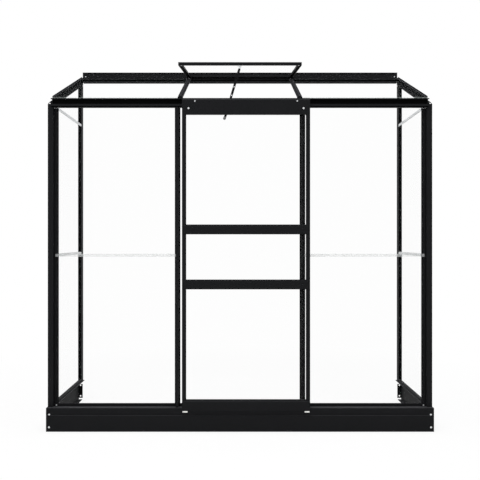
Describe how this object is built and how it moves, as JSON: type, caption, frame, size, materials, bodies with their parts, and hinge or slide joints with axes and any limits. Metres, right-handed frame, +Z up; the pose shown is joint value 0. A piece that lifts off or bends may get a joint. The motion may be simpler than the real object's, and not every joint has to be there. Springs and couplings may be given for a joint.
{
  "type": "lean-to greenhouse",
  "caption": "Glazed lean-to greenhouse for a wall: black aluminium frame on a steel base, sliding door in the middle bay, opened roof vent, back left open.",
  "frame": {"origin": "bottom centre of the whole greenhouse, at ground level, midway between its outermost front and back faces", "axes": "+X to the right seen from the front, +Y from the door towards the wall, +Z up"},
  "size_m": [1.93, 0.726, 1.948],
  "materials": {
    "black_coated_aluminium": "satin",
    "black_coated_steel": "satin",
    "toughened_glass": "gloss",
    "clear_strip": "gloss",
    "white_nylon": "satin",
    "zinc_plated_steel": "satin"
  },
  "bodies": {
    "greenhouse": {"base_front": "black_coated_steel", "base_left": "black_coated_steel", "base_right": "black_coated_steel", "sill_front": "black_coated_aluminium", "sill_left": "black_coated_aluminium", "sill_right": "black_coated_aluminium", "corner_post_left": "black_coated_aluminium", "corner_post_right": "black_coated_aluminium", "door_post_left": "black_coated_aluminium", "door_post_right": "black_coated_aluminium", "wall_post_left": "black_coated_aluminium", "wall_post_right": "black_coated_aluminium", "eave_bar": "black_coated_aluminium", "ridge_bar": "black_coated_aluminium", "gable_bar_left": "black_coated_aluminium", "gable_bar_right": "black_coated_aluminium", "rafter_left": "black_coated_aluminium", "rafter_right": "black_coated_aluminium", "front_glass_left": "toughened_glass", "front_glass_right": "toughened_glass", "side_glass_left": "toughened_glass", "side_glass_right": "toughened_glass", "roof_glass_left": "toughened_glass", "roof_glass_right": "toughened_glass", "front_strip_left": "clear_strip", "front_strip_right": "clear_strip", "side_strips_left": "clear_strip", "side_strips_right": "clear_strip", "vent_front_bar": "black_coated_aluminium", "vent_hinge_bar": "black_coated_aluminium", "vent_side_bars": "black_coated_aluminium", "vent_glass": "toughened_glass", "vent_stay": "black_coated_aluminium", "vent_stay_bracket": "zinc_plated_steel"},
    "door": {"door_header": "black_coated_aluminium", "door_stile_left": "black_coated_aluminium", "door_stile_right": "black_coated_aluminium", "door_rail_upper": "black_coated_aluminium", "door_rail_lower": "black_coated_aluminium", "door_bottom_rail": "black_coated_aluminium", "door_glass": "toughened_glass", "door_rollers": "white_nylon", "door_glides": "white_nylon"}
  },
  "joints": [
    {"name": "door_slide", "type": "slide", "parent": "greenhouse", "child": "door", "axis": [1, 0, 0], "range_m": [-0.03, 0.58]}
  ]
}
